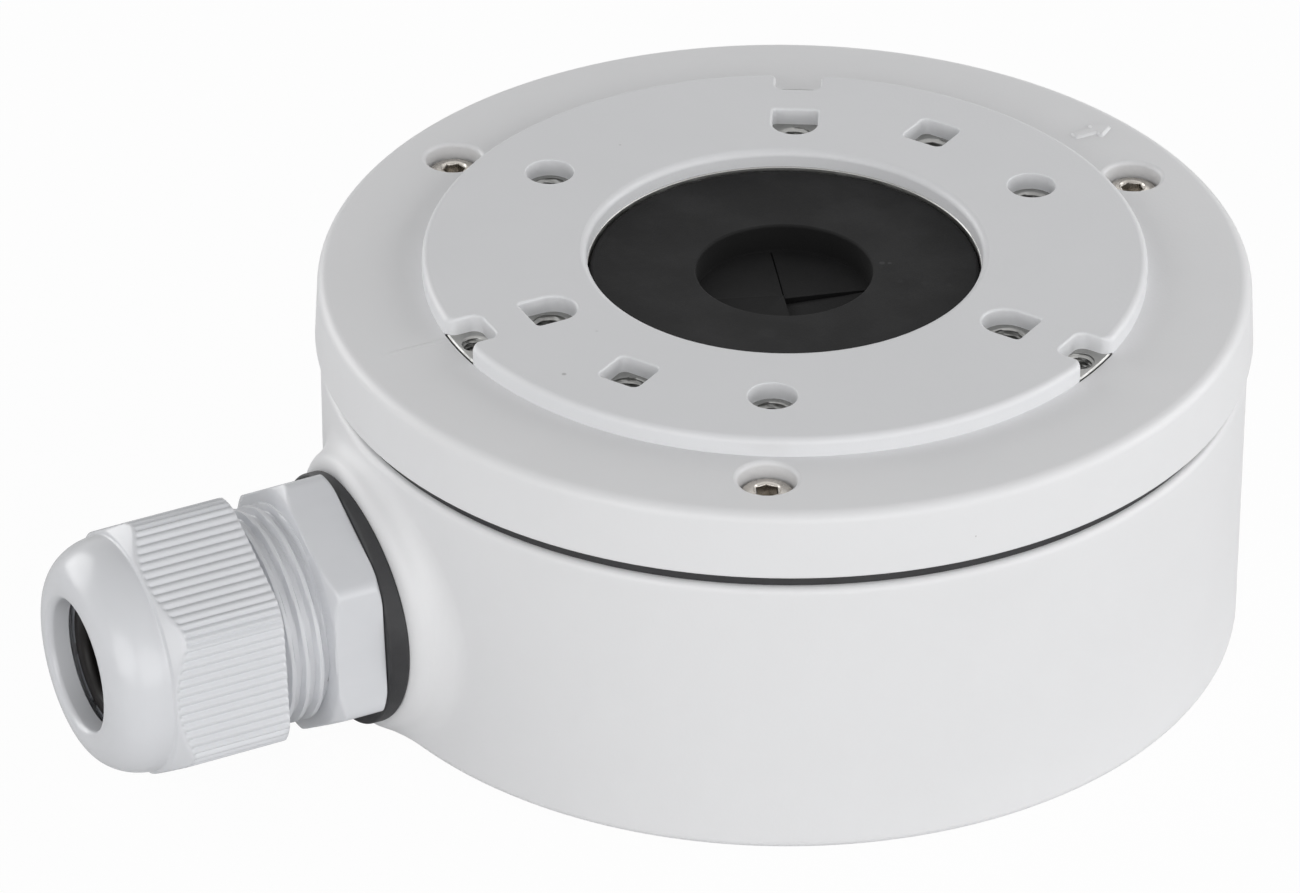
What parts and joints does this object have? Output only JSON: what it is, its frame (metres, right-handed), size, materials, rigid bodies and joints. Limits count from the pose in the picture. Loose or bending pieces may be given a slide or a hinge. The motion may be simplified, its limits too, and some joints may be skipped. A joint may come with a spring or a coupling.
{
  "type": "camera junction box",
  "caption": "Round cast junction box that mounts a surveillance camera on a wall or ceiling, with a screwed cover, threaded mounting plate, slit rubber grommet and a side cable gland.",
  "frame": {"origin": "centre of the round wall face, on the box's axis", "axes": "+Z out of the wall through the cover towards the camera; the cable gland points along -Y, so +Y is up when the cable comes from below"},
  "size_m": [0.1, 0.133, 0.0432],
  "materials": {
    "white_paint": "satin powder coat",
    "disc_paint": "satin powder coat",
    "plate_steel": "zinc plated",
    "screw_steel": "bright stainless",
    "gasket_rubber": "matte",
    "black_rubber": "matte, dusty",
    "seal_rubber": "matte",
    "gland_nylon": "glossy moulded",
    "cage_nylon": "moulded",
    "washer_brass": "plated"
  },
  "bodies": {
    "base": {"base_housing": "white_paint", "cover_gasket": "gasket_rubber", "gland_body": "gland_nylon", "gland_washer": "gasket_rubber", "earth_screw": "screw_steel", "earth_washer": "washer_brass"},
    "cover": {"cover_ring": "white_paint", "face_disc": "disc_paint", "mounting_plate": "plate_steel", "cable_grommet": "black_rubber", "disc_screw_1": "screw_steel", "disc_screw_2": "screw_steel", "disc_screw_3": "screw_steel"},
    "screw_1": {"cover_screw_1": "screw_steel", "screw_retainer_1": "black_rubber"},
    "screw_2": {"cover_screw_2": "screw_steel", "screw_retainer_2": "black_rubber"},
    "screw_3": {"cover_screw_3": "screw_steel", "screw_retainer_3": "black_rubber"},
    "clamp": {"clamping_cage": "cage_nylon", "cable_seal": "seal_rubber"},
    "nut": {"gland_nut": "gland_nylon"}
  },
  "joints": [
    {"name": "cover_lift", "type": "slide", "parent": "base", "child": "cover", "axis": [0, 0, 1], "range_m": [0, 0.03]},
    {"name": "screw_turn_1", "type": "hinge", "parent": "cover", "child": "screw_1", "pos_m": [0, 0.0426, 0.0411], "axis": [0, 0, 1], "continuous": true},
    {"name": "screw_turn_2", "type": "hinge", "parent": "cover", "child": "screw_2", "pos_m": [-0.03689, -0.0213, 0.0411], "axis": [0, 0, 1], "continuous": true},
    {"name": "screw_turn_3", "type": "hinge", "parent": "cover", "child": "screw_3", "pos_m": [0.03689, -0.0213, 0.0411], "axis": [0, 0, 1], "continuous": true},
    {"name": "clamp_travel", "type": "slide", "parent": "base", "child": "clamp", "axis": [0, -1, 0], "range_m": [-0.00321, 0.00481]},
    {"name": "nut_turn", "type": "hinge", "parent": "clamp", "child": "nut", "pos_m": [0, -0.075, 0.0148], "axis": [0, -1, 0], "range_deg": [-720, 1080]}
  ],
  "couplings": [
    {"joint": "clamp_travel", "follows": "nut_turn", "m_per_rad": 0.00025465}
  ]
}
